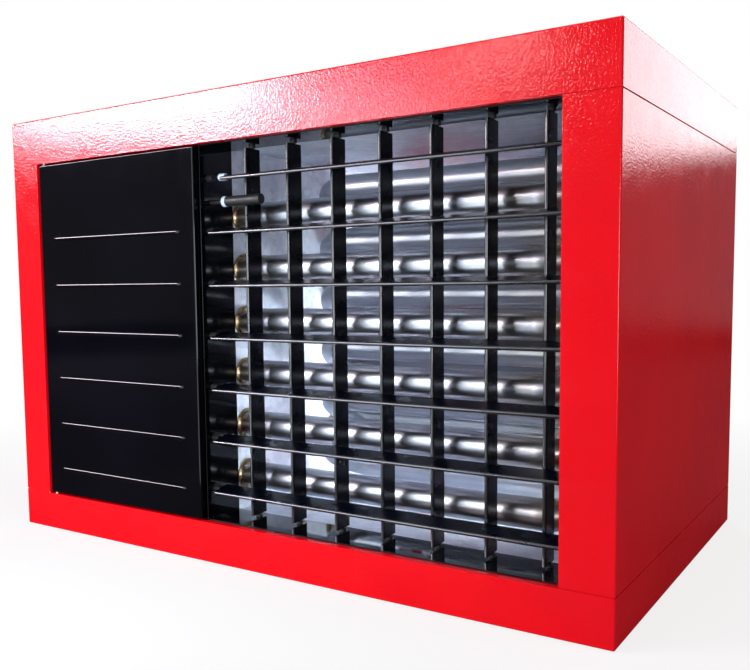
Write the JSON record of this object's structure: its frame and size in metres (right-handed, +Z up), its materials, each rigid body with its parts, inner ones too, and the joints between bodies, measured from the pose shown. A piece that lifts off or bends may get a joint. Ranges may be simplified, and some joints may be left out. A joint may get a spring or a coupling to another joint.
{
  "type": "gas forced air heater",
  "caption": "Gas fired unit heater: red sheet casing, black access door, serpentine exchanger tubes behind turning louvres, rear axial fan and flue fan.",
  "frame": {"origin": "under the middle of the whole heater, spigots included, at the underside of the bottom tray", "axes": "+Z up, -Y towards the front with the door and the louvres, +X to the right as seen from the front"},
  "size_m": [1.1, 0.755, 0.74],
  "materials": {
    "red_coat": "gloss powder coat",
    "black_gloss": "gloss powder coat",
    "galvanised": "galvanised sheet",
    "tube_steel": "satin drawn tube",
    "collar_steel": "heat tinted",
    "zinc_plate": "zinc plated",
    "fan_grey": "satin paint",
    "aluminised": "aluminised sheet",
    "nylon": "moulded",
    "brass": "machined",
    "black_iron": "black iron pipe",
    "cast_alloy": "die cast",
    "black_plastic": "moulded",
    "grey_plastic": "moulded",
    "red_plastic": "moulded",
    "ceramic": "glazed"
  },
  "bodies": {
    "casing": {"top_cover": "red_coat", "bottom_tray": "red_coat", "left_side_panel": "red_coat", "right_side_panel": "red_coat", "rear_panel": "red_coat", "suspension_rails": "galvanised", "casing_screws": "zinc_plate", "door_hinge_pins": "zinc_plate", "door_catches": "black_plastic", "division_panel": "galvanised", "right_heat_shield": "galvanised", "airway_baffles": "galvanised", "louvre_frame": "black_gloss", "louvre_bushes": "nylon", "heat_tube_1": "tube_steel", "heat_tube_2": "tube_steel", "heat_tube_3": "tube_steel", "heat_tube_4": "tube_steel", "heat_tube_5": "tube_steel", "heat_tube_6": "tube_steel", "tube_collars": "collar_steel", "tube_rest_bar": "galvanised", "fan_ring": "aluminised", "fan_guard": "zinc_plate", "fan_motor": "fan_grey", "flue_collector": "aluminised", "flue_fan_housing": "aluminised", "flue_fan_motor": "fan_grey", "flue_spigot": "aluminised", "air_inlet_spigot": "aluminised", "burner_rack": "galvanised", "burners": "aluminised", "gas_manifold": "black_iron", "gas_injectors": "brass", "gas_valve": "cast_alloy", "gas_inlet_pipe": "black_iron", "flame_electrodes": "ceramic", "control_box": "grey_plastic", "pressure_switch": "grey_plastic", "limit_thermostat": "black_plastic", "cable_gland": "black_plastic"},
    "door": {"access_door": "black_gloss"},
    "main_fan": {"fan_impeller": "fan_grey"},
    "flue_fan": {"flue_fan_impeller": "aluminised"},
    "gas_knob": {"gas_valve_knob": "black_plastic"},
    "reset": {"reset_button": "red_plastic"},
    "h_louvre_1": {"horizontal_louvre_1": "black_gloss"},
    "v_louvre_1": {"vertical_louvre_1": "black_gloss"},
    "h_louvre_2": {"horizontal_louvre_2": "black_gloss"},
    "v_louvre_2": {"vertical_louvre_2": "black_gloss"},
    "h_louvre_3": {"horizontal_louvre_3": "black_gloss"},
    "v_louvre_3": {"vertical_louvre_3": "black_gloss"},
    "h_louvre_4": {"horizontal_louvre_4": "black_gloss"},
    "v_louvre_4": {"vertical_louvre_4": "black_gloss"},
    "h_louvre_5": {"horizontal_louvre_5": "black_gloss"},
    "v_louvre_5": {"vertical_louvre_5": "black_gloss"},
    "h_louvre_6": {"horizontal_louvre_6": "black_gloss"},
    "v_louvre_6": {"vertical_louvre_6": "black_gloss"},
    "h_louvre_7": {"horizontal_louvre_7": "black_gloss"},
    "v_louvre_7": {"vertical_louvre_7": "black_gloss"}
  },
  "joints": [
    {"name": "door_hinge", "type": "hinge", "parent": "casing", "child": "door", "pos_m": [-0.472, -0.3702, 0.3635], "axis": [0, 0, -1], "range_deg": [0, 100]},
    {"name": "h_louvre_1_turn", "type": "hinge", "parent": "casing", "child": "h_louvre_1", "pos_m": [0.1925, -0.34485, 0.1133], "axis": [1, 0, 0], "range_deg": [-55, 25]},
    {"name": "h_louvre_2_turn", "type": "hinge", "parent": "casing", "child": "h_louvre_2", "pos_m": [0.1925, -0.34485, 0.1963], "axis": [1, 0, 0], "range_deg": [-55, 25]},
    {"name": "h_louvre_3_turn", "type": "hinge", "parent": "casing", "child": "h_louvre_3", "pos_m": [0.1925, -0.34485, 0.2793], "axis": [1, 0, 0], "range_deg": [-55, 25]},
    {"name": "h_louvre_4_turn", "type": "hinge", "parent": "casing", "child": "h_louvre_4", "pos_m": [0.1925, -0.34485, 0.3623], "axis": [1, 0, 0], "range_deg": [-55, 25]},
    {"name": "h_louvre_5_turn", "type": "hinge", "parent": "casing", "child": "h_louvre_5", "pos_m": [0.1925, -0.34485, 0.4453], "axis": [1, 0, 0], "range_deg": [-55, 25]},
    {"name": "h_louvre_6_turn", "type": "hinge", "parent": "casing", "child": "h_louvre_6", "pos_m": [0.1925, -0.34485, 0.5283], "axis": [1, 0, 0], "range_deg": [-55, 25]},
    {"name": "h_louvre_7_turn", "type": "hinge", "parent": "casing", "child": "h_louvre_7", "pos_m": [0.1925, -0.34485, 0.6113], "axis": [1, 0, 0], "range_deg": [-55, 25]},
    {"name": "v_louvre_1_turn", "type": "hinge", "parent": "casing", "child": "v_louvre_1", "pos_m": [-0.046, -0.3075, 0.3635], "axis": [0, 0, 1], "range_deg": [-45, 45]},
    {"name": "v_louvre_2_turn", "type": "hinge", "parent": "casing", "child": "v_louvre_2", "pos_m": [0.0353, -0.3075, 0.3635], "axis": [0, 0, 1], "range_deg": [-45, 45]},
    {"name": "v_louvre_3_turn", "type": "hinge", "parent": "casing", "child": "v_louvre_3", "pos_m": [0.1166, -0.3075, 0.3635], "axis": [0, 0, 1], "range_deg": [-45, 45]},
    {"name": "v_louvre_4_turn", "type": "hinge", "parent": "casing", "child": "v_louvre_4", "pos_m": [0.1979, -0.3075, 0.3635], "axis": [0, 0, 1], "range_deg": [-45, 45]},
    {"name": "v_louvre_5_turn", "type": "hinge", "parent": "casing", "child": "v_louvre_5", "pos_m": [0.2792, -0.3075, 0.3635], "axis": [0, 0, 1], "range_deg": [-45, 45]},
    {"name": "v_louvre_6_turn", "type": "hinge", "parent": "casing", "child": "v_louvre_6", "pos_m": [0.3605, -0.3075, 0.3635], "axis": [0, 0, 1], "range_deg": [-45, 45]},
    {"name": "v_louvre_7_turn", "type": "hinge", "parent": "casing", "child": "v_louvre_7", "pos_m": [0.4418, -0.3075, 0.3635], "axis": [0, 0, 1], "range_deg": [-45, 45]},
    {"name": "main_fan_spin", "type": "hinge", "parent": "casing", "child": "main_fan", "pos_m": [0.1925, 0.2852, 0.36275], "axis": [0, 1, 0], "continuous": true},
    {"name": "flue_fan_spin", "type": "hinge", "parent": "casing", "child": "flue_fan", "pos_m": [-0.2281, 0.0003, 0.5], "axis": [1, 0, 0], "continuous": true},
    {"name": "gas_knob_turn", "type": "hinge", "parent": "casing", "child": "gas_knob", "pos_m": [-0.401, -0.2985, 0.165], "axis": [0, 1, 0], "range_deg": [0, 90]},
    {"name": "reset_press", "type": "slide", "parent": "casing", "child": "reset", "axis": [0, 1, 0], "range_m": [0, 0.003], "stiffness_N_per_m": 400}
  ]
}
